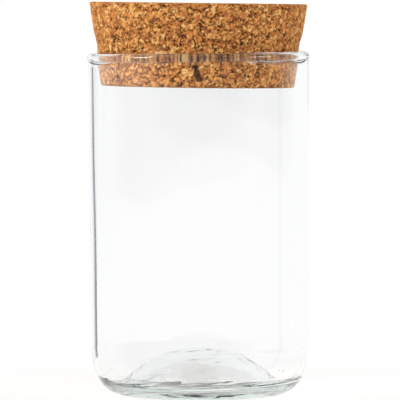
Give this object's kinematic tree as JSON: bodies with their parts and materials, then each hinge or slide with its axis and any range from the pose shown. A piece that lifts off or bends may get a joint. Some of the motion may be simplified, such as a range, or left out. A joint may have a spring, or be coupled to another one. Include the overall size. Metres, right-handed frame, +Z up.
{
  "type": "glass storage jar with cork stopper",
  "caption": "Straight-sided clear glass storage jar with a rounded heel and a domed base, closed by a tapered cork stopper that pulls out of its beaded mouth.",
  "frame": {"origin": "centre of the jar's resting ring, on the plane that it stands on", "axes": "+Z up along the jar's axis, towards the stopper; the jar is round, so +X is any side"},
  "size_m": [0.1008, 0.1008, 0.1773],
  "materials": {
    "clear_glass": "clear blown soda-lime glass, fire-polished rim, grey-green where it is thick",
    "pressed_cork": "pressed cork granules, sanded, matt, with dark pits between the granules"
  },
  "bodies": {
    "jar": {"glass_jar": "clear_glass"},
    "stopper": {"cork_stopper": "pressed_cork"}
  },
  "joints": [
    {"name": "stopper_lift", "type": "slide", "parent": "jar", "child": "stopper", "axis": [0, 0, 1], "range_m": [0, 0.06]}
  ]
}
